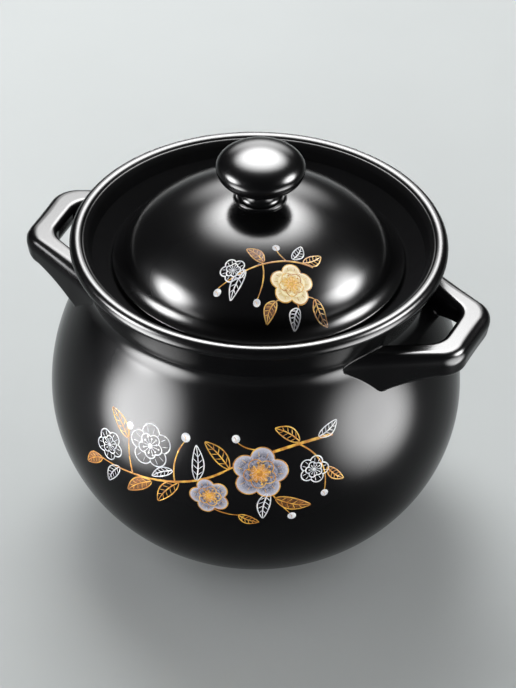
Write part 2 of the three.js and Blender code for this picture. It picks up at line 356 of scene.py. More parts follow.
# Handles
def plan_line(reach, half, splay, corner):
    """Half the plan of a loop, from the grip's middle: straight grip, round corner, straight arm."""
    turn = 90 - splay
    trim = corner * math.tan(math.radians(turn / 2))
    middle = (reach - corner, half - trim)
    grip = run((reach, 0), (reach, half - trim), FEW)
    elbow = arc(middle, (corner, corner), 0, turn, 2 * TIGHT)
    root = (ROOT_START, half + (reach - ROOT_START) * math.tan(math.radians(splay)))
    return grip, elbow, run(elbow[-1], root, 4 * LONG)


def handle_depth(x, grip_inner):
    """Depth of a handle: even at the grip, and growing along the arms as their run plus its square."""
    share = np.maximum(grip_inner - x, 0) / (grip_inner - CREASE_RADIUS)
    return GRIP_HEIGHT + (ROOT_HEIGHT - GRIP_HEIGHT) * (share + share ** 2) / 2


def oblong_round():
    """Once round an oblong with a rounding of its own at each corner, as columns that fit any size.

    A quarter circle about each corner is followed by even points on the straight side after it. A
    point is half the size times its spot, less its inset, plus its radius times the way it faces."""
    corners = np.array([[1, 1], [-1, 1], [-1, -1], [1, -1], [1, 1]], float)
    radii = np.array([
        OUTER_TOP_ROUND, INNER_TOP_ROUND, INNER_LOW_ROUND, OUTER_LOW_ROUND, OUTER_TOP_ROUND,
    ])
    quarter = np.linspace(0, np.pi / 2, TIGHT)
    side = np.linspace(0, 1, TIGHT + 2)[1:-1]
    place, angle = [], []
    for k in range(4):
        place += [np.full(TIGHT, k), k + side]
        angle += [quarter + k * np.pi / 2, np.full(TIGHT, (k + 1) * np.pi / 2)]
    place = np.concatenate(place + [[4]])[::-1]
    angle = np.concatenate(angle + [[2 * np.pi]])[::-1]
    spot, inset = (
        np.stack([np.interp(place, range(5), values[:, axis]) for axis in range(2)], axis=1)
        for values in (corners, corners * radii[:, None])
    )
    radius = np.interp(place, range(5), radii)[:, None]
    return spot, inset, radius, np.stack([np.cos(angle), np.sin(angle)], axis=1)


section_spot, section_inset, section_radius, section_facing = oblong_round()


def oblong(inner, outer, top, grip_inner):
    """Rounded oblong section at each pair of plan points: rows follow the pairs, columns go round.

    Its outer side leans in towards the bottom, by the undercut times the shares of the way out and
    down. The undercut lessens along the arms. Also gives the way each column faces in its section."""
    across = outer - inner
    width = np.linalg.norm(across, axis=1)
    across = across / width[:, None]
    middle = (inner + outer) / 2
    depth = handle_depth(middle[:, 0], grip_inner)
    half = np.stack([width, depth], axis=1) / 2
    flat = half[:, None] * section_spot - section_inset + section_radius * section_facing
    share_out, share_up = np.moveaxis((flat / half[:, None] + 1) / 2, 2, 0)
    undercut = np.interp(middle[:, :1], (CREASE_RADIUS, grip_inner), (ROOT_UNDERCUT, UNDERCUT))
    flat[..., 0] -= undercut * share_out * (1 - share_up)
    points = np.empty(flat.shape[:2] + (3,))
    points[..., :2] = middle[:, None] + across[:, None] * flat[..., :1]
    points[..., 2] = top - depth[:, None] / 2 + flat[..., 1]
    ways = np.empty_like(points)
    ways[..., :2] = across[:, None] * section_facing[:, :1]
    ways[..., 2] = section_facing[:, 1]
    return points, ways


def along(lines, distance, wanted):
    """Points of each column of lines at wanted distances, given the distance of each of its points."""
    place = (distance[None] <= wanted[:, None]).sum(axis=1) - 1
    place = np.clip(place, 0, len(lines) - 2)
    low = np.take_along_axis(distance, place, axis=0)
    high = np.take_along_axis(distance, place + 1, axis=0)
    share = ((wanted - low) / (high - low))[..., None]
    start = np.take_along_axis(lines, place[..., None], axis=0)
    stop = np.take_along_axis(lines, place[..., None] + 1, axis=0)
    return start + share * (stop - start)


def on_wall(points):
    """The points moved level onto the vessel's outside, and the outside's normal there."""
    turn = np.arctan2(points[..., 1], points[..., 0])
    radius = wall_radius(points[..., 2])
    out, up = wall_normal(points[..., 2])
    place = np.stack([radius * np.cos(turn), radius * np.sin(turn), points[..., 2]], axis=2)
    return place, np.stack([out * np.cos(turn), out * np.sin(turn), up], axis=2)


def handle_grid(top, reach):
    """Loop handle along +X with a top and a reach: half of it is swept from grip to wall and mirrored.

    The outer side of an arm spreads towards the wall with a high power of its run.
    Each line of an arm meets the wall at a foot point. From a fillet's length before it, a quadratic
    curve with the foot point as its corner leads onto the wall a fillet's length away, and then sinks
    into it. The fillet is shortest on the arm's outer side."""
    grip_inner = reach - GRIP_WIDTH
    grip_in, elbow_in, arm_in = plan_line(grip_inner, HOLE_HALF, HOLE_SPLAY, HOLE_CORNER)
    grip_out, elbow_out, arm_out = plan_line(reach, HANDLE_HALF, HANDLE_SPLAY, HANDLE_CORNER)
    arm_run = (arm_out[0, 0] - arm_out[:, 0]) / (arm_out[0, 0] - CREASE_RADIUS)
    arm_out[:, 1] += ROOT_FLARE * arm_run ** FLARE_POWER
    front_in = np.concatenate([grip_in, elbow_in[1:-1]])
    front_out = np.concatenate([grip_out, elbow_out[1:-1]])
    front, _ = oblong(front_in, front_out, top, grip_inner)
    arm, ways = oblong(arm_in, arm_out, top, grip_inner)
    gap = np.hypot(arm[..., 0], arm[..., 1]) - wall_radius(arm[..., 2])
    first = np.argmax(gap < 0, axis=0)[None]
    outer_gap = np.take_along_axis(gap, first - 1, axis=0)
    inner_gap = np.take_along_axis(gap, first, axis=0)
    share = outer_gap / (outer_gap - inner_gap)
    step = np.linalg.norm(np.diff(arm, axis=0), axis=2)
    distance = np.concatenate([np.zeros((1, arm.shape[1])), np.cumsum(step, axis=0)])
    length = np.take_along_axis(distance, first - 1, axis=0)
    length = length + share * (np.take_along_axis(distance, first, axis=0) - length)
    outward = np.clip(section_facing[None, :, 0], 0, 1) ** 2
    fillet = ROOT_FILLET + (OUTER_FILLET - ROOT_FILLET) * outward
    foot, normal = on_wall(along(arm, distance, length))
    straight = along(arm, distance, np.linspace(0, 1, LONG)[:, None] * (length - fillet))
    spread = ways[:1] - (ways[:1] * normal).sum(axis=2, keepdims=True) * normal
    spread = spread / np.linalg.norm(spread, axis=2, keepdims=True)
    landing, normal = on_wall(foot + fillet[..., None] * spread)
    t = np.linspace(0, 1, 2 * TIGHT)[1:, None, None]
    curve = (1 - t) ** 2 * straight[-1:] + 2 * t * (1 - t) * foot + t ** 2 * landing
    sunk = landing + ROOT_SINK * (spread - normal)
    centre = np.broadcast_to(sunk.mean(axis=1, keepdims=True), sunk.shape)
    half = np.concatenate([front, straight, curve, sunk, centre])
    other = half[:0:-1] * (1, -1, 1)
    return np.concatenate([other, half])


# Lid and knob
def lid_lines():
    """Outside of the lid from brim to cap, and its inside from cap to skirt, each a chain of arcs."""
    slope = math.radians(SKIRT_SLOPE)
    cap_slope = math.radians(CAP_SLOPE)
    lean = math.radians(BRIM_SLOPE)
    edge = np.array([BRIM_RADIUS - BRIM_ROUND, BRIM_ROUND])
    edge_line = arc(edge, (BRIM_ROUND, BRIM_ROUND), -90, 90 - BRIM_SLOPE, 2 * TIGHT)
    brim_end = edge_line[-1] + BRIM_WIDTH * np.array([-math.cos(lean), math.sin(lean)])
    flare_centre = brim_end + FLARE_ROUND * np.array([math.sin(lean), math.cos(lean)])
    flare_radii = (FLARE_ROUND, FLARE_ROUND)
    flare = arc(flare_centre, flare_radii, -90 - BRIM_SLOPE, -90 - SKIRT_SLOPE, 2 * TIGHT)
    skirt_top = flare[-1] + SKIRT_LENGTH * np.array([-math.cos(slope), math.sin(slope)])
    shoulder = skirt_top - SHOULDER_ROUND * np.array([math.sin(slope), math.cos(slope)])
    cap_edge = shoulder + SHOULDER_ROUND * np.array([math.sin(cap_slope), math.cos(cap_slope)])
    cap_radius = cap_edge[0] / math.sin(cap_slope)
    cap = np.array([0, cap_edge[1] - cap_radius * math.cos(cap_slope)])
    hollow = SHOULDER_ROUND - LID_WALL
    outside = chain(
        edge_line,
        run(edge_line[-1], flare[0], FEW),
        flare,
        run(flare[-1], skirt_top, FEW),
        arc(shoulder, (SHOULDER_ROUND, SHOULDER_ROUND), 90 - SKIRT_SLOPE, 90 - CAP_SLOPE, 2 * TIGHT),
        arc(cap, (cap_radius, cap_radius), 90 - CAP_SLOPE, 90, LONG),
    )
    inside = chain(
        arc(cap, (cap_radius - LID_WALL, cap_radius - LID_WALL), 90, 90 - CAP_SLOPE, LONG),
        arc(shoulder, (hollow, hollow), 90 - CAP_SLOPE, 90 - SKIRT_SLOPE, 2 * TIGHT),
    )
    return outside + (0, LID_BASE), inside + (0, LID_BASE)


lid_outside, lid_inside = lid_lines()


def lid_height(radius):
    """Height of the lid's outside at each radius from its axis."""
    return np.interp(radius, lid_outside[::-1, 0], lid_outside[::-1, 1])


def lid_grid():
    """Hollow lid turned from one outline: inside of the dome, skirt, flat under the brim, outside."""
    last = lid_inside[-1]
    brim_inner = last + np.array([1 / math.tan(math.radians(SKIRT_SLOPE)), -1]) * (last[1] - LID_BASE)
    away = last - brim_inner
    edge = brim_inner + SKIRT_EDGE * away / np.linalg.norm(away)
    under = brim_inner + (SKIRT_EDGE, 0)
    return turned(chain(
        lid_inside,
        run(last, edge, FEW),
        bend(edge, brim_inner, under, FEW),
        run(under, lid_outside[0], FEW),
        lid_outside,
    ))


def knob_grid():
    """Knob turned from one outline: slip fillet on the lid, spreading foot, waisted stem and flat ball.

    The ball is two half ellipses that meet at its widest level, the upper flatter than the lower."""
    ball = np.array([0, KNOB_TOP - KNOB_CROWN])
    under = -math.degrees(math.acos(KNOB_STEM_RADIUS / KNOB_RADIUS))
    ball_line = chain(
        arc(ball, (KNOB_RADIUS, KNOB_UNDER), under, 0, 3 * TIGHT),
        arc(ball, (KNOB_RADIUS, KNOB_CROWN), 0, 90, 3 * TIGHT),
    )
    skirt = KNOB_BASE_RADIUS + KNOB_FILLET
    landing = np.array([skirt, lid_height(skirt)])
    sunk = landing - (0, KNOB_SUNK)
    edge = np.array([KNOB_BASE_RADIUS, KNOB_BASE + KNOB_BASE_EDGE])
    return turned(chain(
        run((0, sunk[1]), sunk, FEW),
        run(sunk, landing, FEW),
        bend(landing, (KNOB_BASE_RADIUS, lid_height(KNOB_BASE_RADIUS)), edge, TIGHT),
        bend(edge, (KNOB_STEM_RADIUS, KNOB_BASE + KNOB_BASE_EDGE), ball_line[0], 2 * TIGHT),
        ball_line,
    ))


# Print: a flowering branch drawn in millimetres on a flat sheet, which is then laid onto the glaze
PRINT_AZIMUTH = math.radians(8.5)
PRINT_HEIGHT = 107.0
LID_PRINT_AZIMUTH = math.radians(30.0)
LID_PRINT_RADIUS = 58.6
PRINT_SUNK = 0.03
BRANCH_LIFT = 0.05
LEAF_LIFT = 0.06
FILL_LIFT = 0.08
LINE_LIFT = 0.11
STAMEN_LIFT = 0.13
LINE_WIDTH = 0.8
VEIN_WIDTH = 0.5

# Strokes, in shares of their width: the flat top, and what is left of the width at both ends
STROKE_TOP = 0.6
FINE_ENDS = (0.4, 0.4)
LEAF_ENDS = (0.7, 0.7)
STEM_ENDS = (1, 0.5)
RING_ENDS = (1, 1)
TWIG_STEPS = 40

# Fills: the share that is flat on top, the rings across it, and the steps round a dot
FILL_TOP = 0.97
FILL_RINGS = 10
DOT_STEPS = 12

# Blossoms, in shares of their size
PETALS = 5
PETAL_FILL_STEPS = 30
PETAL_LINE_STEPS = 24
LOBE_OUT = 0.56
LOBE_ROUND = 0.42
INNER_RING = 0.58
FOLDS = 3
FOLD_SHORT = 0.7
FOLD_LONG = 0.86
EYE = 0.12
STAMENS = 12
STAMEN_START = 0.1
STAMEN_SHORT = 0.33
STAMEN_LONG = 0.42
STAMEN_TIP = 0.045
BUD_FOLD = np.array([(-0.7, 0.5), (0.2, 0.3), (0, -1)])

# Leaves: bow, places across and veins' reach are shares of half the width; two powers shape the edge
LEAF_STEPS = 25
LEAF_BOW = 0.35
LEAF_LEAN = 0.85
LEAF_FULL = 0.8
LEAF_ACROSS = np.array([-1, -0.9, -0.5, 0, 0.5, 0.9, 1])
VEINS = 4
VEIN_EVERY = 4
VEIN_SLANT = 3
VEIN_REACH = 0.92

wall_length = np.concatenate([[0], np.cumsum(np.linalg.norm(np.diff(wall_line, axis=0), axis=1))])


def on_belly(points, lift):
    """Sheet laid round the belly: x goes round as an angle, y follows the wall line, lift stands off."""
    start = np.interp(PRINT_HEIGHT, wall_line[:, 1], wall_length)
    height = np.interp(start + points[..., 1], wall_length, wall_line[:, 1])
    out, up = wall_normal(height)
    turn = PRINT_AZIMUTH + points[..., 0] / wall_radius(PRINT_HEIGHT)
    radius = wall_radius(height) + lift * out
    return np.stack([radius * np.sin(turn), -radius * np.cos(turn), height + lift * up], axis=-1)


def on_lid(points, lift):
    """Sheet laid on the dome: y runs up towards the knob, x across, both in plan; lift stands off."""
    def rise(radius):
        return (lid_height(radius + SLOPE_STEP) - lid_height(radius - SLOPE_STEP)) / (2 * SLOPE_STEP)

    lean = 1 / np.hypot(1, rise(LID_PRINT_RADIUS))
    out = LID_PRINT_RADIUS - points[..., 1] * lean
    away = np.array([math.sin(LID_PRINT_AZIMUTH), -math.cos(LID_PRINT_AZIMUTH)])
    along_rim = np.array([math.cos(LID_PRINT_AZIMUTH), math.sin(LID_PRINT_AZIMUTH)])
    plan = out[..., None] * away + points[..., :1] * along_rim
    radius = np.linalg.norm(plan, axis=-1)
    slope = rise(radius)
    up = 1 / np.hypot(1, slope)
    plan = plan * (1 - lift * slope * up / radius)[..., None]
    return np.concatenate([plan, (lid_height(radius) + lift * up)[..., None]], axis=-1)


def stroke(path, width, lift, ends=FINE_ENDS):
    """Ribbon along a drawn line, flat on top with its edges sunk; ends are shares of its full width.

    It is widest in the middle of the line and narrows evenly to its ends; its mark is the way along."""
    path = np.asarray(path, float)
    way = np.gradient(path, axis=0)
    way = way / np.linalg.norm(way, axis=1)[:, None]
    side = np.stack([way[:, 1], -way[:, 0]], axis=1)
    share = np.linspace(0, 1, len(path))
    half = width / 2 * np.interp(share, [0, 0.5, 1], [ends[0], 1, ends[1]])
    across = np.array([-1, -STROKE_TOP, STROKE_TOP, 1])
    points = path[:, None] + side[:, None] * (half[:, None] * across)[..., None]
    height = np.tile([-PRINT_SUNK, lift, lift, -PRINT_SUNK], (len(path), 1))
    height[[0, -1]] = -PRINT_SUNK
    return points, height, np.tile(share[:, None], (1, len(across)))


def patch(centre, radius, angle, lift):
    """Filled shape round a centre, with a radius at each angle: rings from the middle to a sunk rim.

    Its mark is the share of the way out."""
    share = np.append(np.linspace(0, FILL_TOP, FILL_RINGS), 1)[:, None]
    reach = share * np.asarray(radius) * np.ones(len(angle))
    points = np.asarray(centre) + np.stack([reach * np.cos(angle), reach * np.sin(angle)], axis=2)
    height = np.full(reach.shape, lift)
    height[-1] = -PRINT_SUNK
    return points, height, share * np.ones(len(angle))


def dot(centre, radius, lift):
    """Round dot."""
    return patch(centre, radius, np.linspace(2 * np.pi, 0, DOT_STEPS + 1), lift)


def petal_edge(size, angle):
    """Radius of a blossom at each angle: each of its lobes is a circle set out from the middle."""
    lobe = 2 * np.pi / PETALS
    off = (angle + lobe / 2) % lobe - lobe / 2
    return size * (LOBE_OUT * np.cos(off) + np.sqrt(LOBE_ROUND ** 2 - (LOBE_OUT * np.sin(off)) ** 2))


def blossom_fill(centre, size, turn):
    """Petals of a blossom as one filled shape."""
    angle = np.linspace(2 * np.pi, 0, PETAL_FILL_STEPS * PETALS + 1)
    return [patch(centre, petal_edge(size, angle - math.radians(turn)), angle, FILL_LIFT)]


def blossom_lines(centre, size, turn):
    """Lines of a blossom: two rings of petals, the inner turned by half a petal, with folds between."""
    lobe = 2 * np.pi / PETALS
    start = math.radians(turn) + lobe / 2
    lines = []
    for share, shift in ((1.0, 0.0), (INNER_RING, lobe / 2)):
        angle = start + shift + np.linspace(0, 2 * np.pi, PETAL_LINE_STEPS * PETALS + 1)
        reach = share * petal_edge(size, angle - shift - math.radians(turn))
        ring = np.asarray(centre) + reach[:, None] * np.stack([np.cos(angle), np.sin(angle)], axis=1)
        lines.append(stroke(ring, LINE_WIDTH, LINE_LIFT, RING_ENDS))
    for k in range(FOLDS * PETALS):
        angle = start + k * lobe / FOLDS
        way = size * np.array([math.cos(angle), math.sin(angle)])
        far = FOLD_LONG if k % FOLDS else FOLD_SHORT
        fold = run(centre + INNER_RING * way, centre + far * way, FEW)
        lines.append(stroke(fold, VEIN_WIDTH, LINE_LIFT))
    return lines


def stamens(centre, size, turn):
    """Ring of fine threads with a dot at each tip, alternately long and short, round a larger dot."""
    parts = [dot(centre, EYE * size, STAMEN_LIFT)]
    for k in range(STAMENS):
        angle = math.radians(turn + 360 * k / STAMENS)
        way = size * np.array([math.cos(angle), math.sin(angle)])
        tip = centre + (STAMEN_LONG if k % 2 else STAMEN_SHORT) * way
        parts.append(stroke(run(centre + STAMEN_START * way, tip, FEW), VEIN_WIDTH, STAMEN_LIFT))
        parts.append(dot(tip, STAMEN_TIP * size, STAMEN_LIFT))
    return parts


def leaf_shape(base, tip, half):
    """Middle line of a leaf, bowed to one side as a sine, and the steps across it to its right edge.

    The steps follow a sine of a power of the way along, raised to another power."""
    share = np.linspace(0, 1, LEAF_STEPS)[:, None]
    way = np.subtract(tip, base)
    side = np.array([way[1], -way[0]]) / np.linalg.norm(way)
    middle = base + share * way + LEAF_BOW * half * np.sin(np.pi * share) * side
    return middle, half * np.sin(np.pi * share ** LEAF_LEAN) ** LEAF_FULL * side


def leaf_lines(base, tip, half):
    """Outline, midrib and slanting veins of a leaf."""
    middle, reach = leaf_shape(base, tip, half)
    lines = [
        stroke(middle + reach, LINE_WIDTH, LINE_LIFT, LEAF_ENDS),
        stroke(middle - reach, LINE_WIDTH, LINE_LIFT, LEAF_ENDS),
        stroke(middle, LINE_WIDTH, LINE_LIFT, STEM_ENDS),
    ]
    for k in range(1, VEINS + 1):
        step = VEIN_EVERY * k
        end = step + VEIN_SLANT
        for edge in (reach, -reach):
            vein = run(middle[step], middle[end] + VEIN_REACH * edge[end], FEW)
            lines.append(stroke(vein, VEIN_WIDTH, LINE_LIFT))
    return lines


def leaf_fill(base, tip, half):
    """Blade of a leaf as a filled shape, its edges sunk; mark runs from the midrib out."""
    middle, reach = leaf_shape(base, tip, half)
    points = middle[:, None] + reach[:, None] * LEAF_ACROSS[:, None]
    out = np.abs(LEAF_ACROSS)
    height = np.tile(np.where(out == 1, -PRINT_SUNK, LEAF_LIFT), (len(middle), 1))
    return [(points, height, np.tile(out, (len(middle), 1)))]


def bud(centre, size):
    """Closed bud: a round fill and the line of one petal over it."""
    fold = bend(*(np.asarray(centre) + size * BUD_FOLD), TIGHT)
    return [dot(centre, size, FILL_LIFT)], [stroke(fold, VEIN_WIDTH, LINE_LIFT)]


# Branches and twigs on the belly, each a start, a corner and an end, then its width
BELLY_TWIGS = (
    ((80, 24), (38, 22), (10, 2), 2.0),
    ((13, 4), (-16, -16.6), (-78, -15), 1.6),
    ((-44, -14), (-48, -4), (-50, 14), 1.0),
    ((-16, -10), (-20, 6), (-12, 19), 1.0),
    ((38, 19), (26, 18), (20, 23), 0.9),
    ((56, 22), (76, 12), (72, -11), 1.0),
    ((40, -8), (46, -18), (52, -25), 0.9),
    ((6, -22), (12, -26), (22, -26), 0.8),
)
# Blossoms, each a centre, a size and a turn in degrees, and buds, each a centre and a size
BELLY_SILVER = (((34, 4), 17, 10), ((5, -14), 12, 40))
BELLY_WHITE = (((-34, 9), 14, 25), ((-63, -3), 10, 60), ((66, 4), 9, 0))
BELLY_BUDS = (((-50, 16), 2.6), ((-12, 21), 3.0), ((53, -27), 2.6), ((72, -13), 2.3), ((19, 25), 2.6))
# Leaves, each a base, a tip and half its width
BELLY_GOLD_LEAVES = (
    ((-14, -9), (-27, -27), 4.0), ((16, 6), (0, 21), 4.0), ((22, -26), (34, -31), 3.0),
    ((58, 23), (43, 32), 3.8), ((-50, 8), (-66, 21), 3.6), ((74, 4), (84, -6), 2.8),
)
BELLY_BROWN_LEAVES = (
    ((-31, -14), (-48, -28), 4.0), ((43, -13), (64, -20), 4.0), ((-68, -15), (-82, -26), 3.6),
)
BELLY_WHITE_LEAVES = (
    ((-3, -5), (-5, 18), 3.6), ((39, -9), (36, -28), 3.6), ((70, 24), (83, 32), 3.2),
    ((-54, -14), (-63, -29), 3.4), ((-18, -2), (-31, -10), 2.8),
)

# The same for the lid
LID_TWIGS = (
    ((26, 9), (4, 17), (-31, 0), 1.3),
    ((-4, 11), (-2, 0), (-9, -12), 0.9),
    ((10, 12), (6, 16), (5, 20), 0.9),
    ((18, -10), (22, -9), (25, -10), 0.9),
    ((9, -11), (5, -12), (2, -13), 0.9),
    ((14, -12), (15, -14), (15, -16), 0.9),
)
LID_CREAM = (((12, -3), 12.5, 15),)
LID_WHITE = (((-21, 9), 7.5, 30),)
LID_BUDS = (((-31, -2), 2.3), ((5, 21), 2.3), ((-9, -13), 2.2))
LID_GOLD_LEAVES = (((20, 11), (31, 18), 3.2), ((25, -10), (32, -20), 3.2))
LID_BROWN_LEAVES = (((-3, 11), (-12, 22), 3.2), ((2, -13), (-4, -23), 3.2))
LID_WHITE_LEAVES = (((-14, 8), (-24, -9), 3.2), ((14, 13), (20, 23), 3.0), ((15, -16), (12, -25), 3.0))


def twig_lines(twigs):
    """Strokes of the branches, each full at its start and half as wide at its end."""
    return [stroke(bend(*path, TWIG_STEPS), width, BRANCH_LIFT, STEM_ENDS) for *path, width in twigs]


def each(draw, items):
    """All parts that a drawing function gives for a list of items, with their points as arrays."""
    items = [[np.array(value, float) if np.ndim(value) else value for value in item] for item in items]
    return [part for item in items for part in draw(*item)]


# Materials, with the sizes of their patterns in millimetres
PEEL_SIZE = 2.2
PEEL_DEPTH = 0.2
CLOUD_SIZE = 35.0
# Size of the mottle in the gallery's painted shade
PAINTED_SHADE_MOTTLE_SIZE = 9.0
MOTTLE_SIZE = 120.0

# Most that the grain's tones cover of a petal's colour
THIN_INK = 0.35


def linear(hex_colour):
    """Linear colour of an sRGB hex value, by the sRGB curve."""
    parts = [int(hex_colour[k:k + 2], 16) / 255 for k in (1, 3, 5)]
    return tuple(p / 12.92 if p <= 0.04045 else ((p + 0.055) / 1.055) ** 2.4 for p in parts) + (1.0,)


def add(tree, kind, links=None, **settings):
    """Adds a node: settings that name a socket set its value, others a property; links feed sockets."""
    node = tree.nodes.new(kind)
    for name, value in settings.items():
        socket = next((s for s in node.inputs if s.name.replace(" ", "_").lower() == name), None)
        if socket is not None:
            socket.default_value = value
        else:
            setattr(node, name, value)
    for name, output in (links or {}).items():
        tree.links.new(output, node.inputs[name])
    return node


def new_material(name):
    """Empty node material and its output node."""
    material = bpy.data.materials.new(name)
    material.use_nodes = True
    tree = material.node_tree
    tree.nodes.clear()
    return material, tree, tree.nodes.new("ShaderNodeOutputMaterial")


def blend(tree, factor, first, second):
    """Mixed colour output of two hex colours or colour outputs."""
    mix = add(tree, "ShaderNodeMix", {"Factor": factor}, data_type="RGBA")
    for socket, colour in ((6, first), (7, second)):
        if isinstance(colour, str):
            mix.inputs[socket].default_value = linear(colour)
        else:
            tree.links.new(colour, mix.inputs[socket])
    return mix.outputs[2]


def ramp(tree, factor, stops):
    """Colour output that runs through stops, each a place from 0 to 1 and a hex colour."""
    node = add(tree, "ShaderNodeValToRGB", {"Fac": factor})
    elements = node.color_ramp.elements
    while len(elements) < len(stops):
        elements.new(0.5)
    for element, (place, colour) in zip(elements, stops):
        element.position = place
        element.color = linear(colour)
    return node.outputs["Color"]


def print_colour(name, grain_size, rough, colours, stops=()):
    """Fired transfer colour: matt against the glaze, uneven where the ink was laid thin.

    stops colour it by its mark, and a grain of a size in millimetres mixes in two thinner tones."""
    material, tree, output = new_material(name)
    place = add(tree, "ShaderNodeTexCoord").outputs["Object"]
    grain = add(tree, "ShaderNodeTexNoise", {"Vector": place}, scale=1 / (grain_size * MM), detail=3.0)
    ink = add(tree, "ShaderNodeMapRange", {"Value": grain.outputs["Fac"]}, from_min=0.42, from_max=0.62)
    tone = blend(tree, ink.outputs["Result"], *colours)
    if stops:
        mark = add(tree, "ShaderNodeAttribute", attribute_name="mark").outputs["Fac"]
        thin = add(tree, "ShaderNodeMath", {0: ink.outputs["Result"]}, operation="MULTIPLY")
        thin.inputs[1].default_value = THIN_INK
        tone = blend(tree, thin.outputs["Value"], ramp(tree, mark, stops), tone)
    shader = add(tree, "ShaderNodeBsdfPrincipled", {"Base Color": tone}, roughness=rough, ior=1.45,
                 specular_ior_level=0.11)
    tree.links.new(shader.outputs["BSDF"], output.inputs["Surface"])
    return material


def black_glaze():
    """Black iron glaze, poured and fired: deep, near black, satin gloss with a faint orange peel.

    Where the mark is 1 the glaze was wiped off before firing and the stoneware shows, matt and buff."""
    material, tree, output = new_material("black_satin_glaze")
    place = add(tree, "ShaderNodeTexCoord").outputs["Object"]
    peel = add(tree, "ShaderNodeTexNoise", {"Vector": place}, scale=1 / (PEEL_SIZE * MM), detail=2.0)
    cloud = add(tree, "ShaderNodeTexNoise", {"Vector": place}, scale=1 / (CLOUD_SIZE * MM), detail=3.0)
    mark = add(tree, "ShaderNodeAttribute", attribute_name="mark").outputs["Fac"]
    wiped = add(tree, "ShaderNodeMapRange", {"Value": mark}, from_min=0.35, from_max=0.65)
    black = blend(tree, cloud.outputs["Fac"], "#060607", "#0b0b0c")
    clay = blend(tree, peel.outputs["Fac"], "#8d8074", "#a89a8a")
    colour = blend(tree, wiped.outputs["Result"], black, clay)
    gloss = add(tree, "ShaderNodeMapRange", {"Value": cloud.outputs["Fac"]}, to_min=0.17, to_max=0.22)
    rough = add(tree, "ShaderNodeMapRange", {
        "Value": wiped.outputs["Result"],
        "To Min": gloss.outputs["Result"],
    }, to_max=0.85)
    bump = add(tree, "ShaderNodeBump", {"Height": peel.outputs["Fac"]}, strength=0.03,
               distance=PEEL_DEPTH * MM)
    shader = add(tree, "ShaderNodeBsdfPrincipled", {
        "Base Color": colour,
        "Roughness": rough.outputs["Result"],
        "Normal": bump.outputs["Normal"],
    }, ior=1.5, specular_ior_level=0.06)
    tree.links.new(shader.outputs["BSDF"], output.inputs["Surface"])
    return material


def painted_shade_gallery():
    """Painted shade in the gallery: a near black, matt, with hardly a sheen, so that the gallery stays
    as dark as it would in deep shade."""
    material, tree, output = new_material("dull_black_wash")
    place = add(tree, "ShaderNodeTexCoord").outputs["Object"]
    shade_mottle = add(tree, "ShaderNodeTexNoise", {"Vector": place}, scale=1 / (PAINTED_SHADE_MOTTLE_SIZE * MM), detail=4.0)
    colour = blend(tree, shade_mottle.outputs["Fac"], "#080809", "#101011")
    rough = add(tree, "ShaderNodeMapRange", {"Value": shade_mottle.outputs["Fac"]}, to_min=0.7, to_max=0.85)
    shader = add(tree, "ShaderNodeBsdfPrincipled", {
        "Base Color": colour,
        "Roughness": rough.outputs["Result"],
    }, ior=1.5, specular_ior_level=0.002)
    tree.links.new(shader.outputs["BSDF"], output.inputs["Surface"])
    return material


def second_material(piece, material, radius, low):
    """Gives the faces of a turned piece inside a radius and above a height another material."""
    mesh = piece.data
    mesh.materials.append(material)
    centres = np.empty(3 * len(mesh.polygons))
    mesh.polygons.foreach_get("center", centres)
    centres = centres.reshape(-1, 3) / MM
    chosen = (np.hypot(centres[:, 0], centres[:, 1]) < radius) & (centres[:, 2] > low)
    mesh.polygons.foreach_set("material_index", chosen.astype(np.int32))


def bare(grid, rise):
    """Mark of 1 where a surface is less than a rise above its lowest point."""
    height = grid[..., 2]
    return (height < height.min() + rise).astype(float)


# Glazed pieces
glaze = black_glaze()
vessel_points = vessel_grid()
lid_points = lid_grid()
right_points = handle_grid(HANDLE_TOP, GRIP_REACH)
left_points = handle_grid(HANDLE_TOP + LEFT_LIFT, GRIP_REACH + LEFT_REACH) * (-1, -1, 1)
vessel = skin("vessel_glazed", [vessel_points], glaze, [bare(vessel_points, BARE_FOOT)])
# The gallery gets painted shade: a black without sheen, so that it stays dark
second_material(vessel, painted_shade_gallery(), PAINTED_SHADE_RADIUS, seat_z - PAINTED_SHADE_BELOW_SEAT)
right_handle = skin("right_handle_glazed", [right_points], glaze)
left_handle = skin("left_handle_glazed", [left_points], glaze)
lid = skin("lid_glazed", [lid_points], glaze, [bare(lid_points, BARE_BRIM)])
lid_knob = skin("lid_knob_glazed", [knob_grid()], glaze)

for piece, body, nodes in (
    (vessel, "pot", ("pot_belly", "pot_collar")),
    (right_handle, "pot", ("right_handle",)),
    (left_handle, "pot", ("left_handle",)),
    (lid, "lid", ("lid",)),
    (lid_knob, "lid", ("lid_knob",)),
):
    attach(piece, body)
    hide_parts(*nodes)

# Printed pieces
gold = print_colour("gold_transfer_print", 5.0, 0.38, ("#a8702a", "#dcae48"))
brown = print_colour("brown_transfer_print", 1.5, 0.45, ("#3c220d", "#6e451b"))
white = print_colour("white_transfer_print", 4.0, 0.45, ("#b9bbc2", "#e2e2e2"))
silver = print_colour("silver_petal_print", 0.8, 0.4, ("#4b4c58", "#c6c8d6"), (
    (0.0, "#e8a020"), (0.3, "#b07a2c"), (0.42, "#3a3b46"),
    (0.6, "#7d7e90"), (0.66, "#484955"), (1.0, "#b4b6c6"),
))
cream = print_colour("cream_petal_print", 0.9, 0.42, ("#c9a24c", "#f2ecd8"), (
    (0.0, "#e39a1c"), (0.3, "#dcae48"), (0.5, "#cdb477"),
    (0.6, "#efe3b4"), (0.7, "#cdb477"), (1.0, "#f0e6c4"),
))


def lay(name, parts, laying, material, body):
    """One printed piece from drawn parts laid onto the glaze, riding with its body."""
    grids = [laying(points, lift) for points, lift, _ in parts]
    piece = skin(name, grids, material, [mark for _, _, mark in parts])
    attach(piece, body)


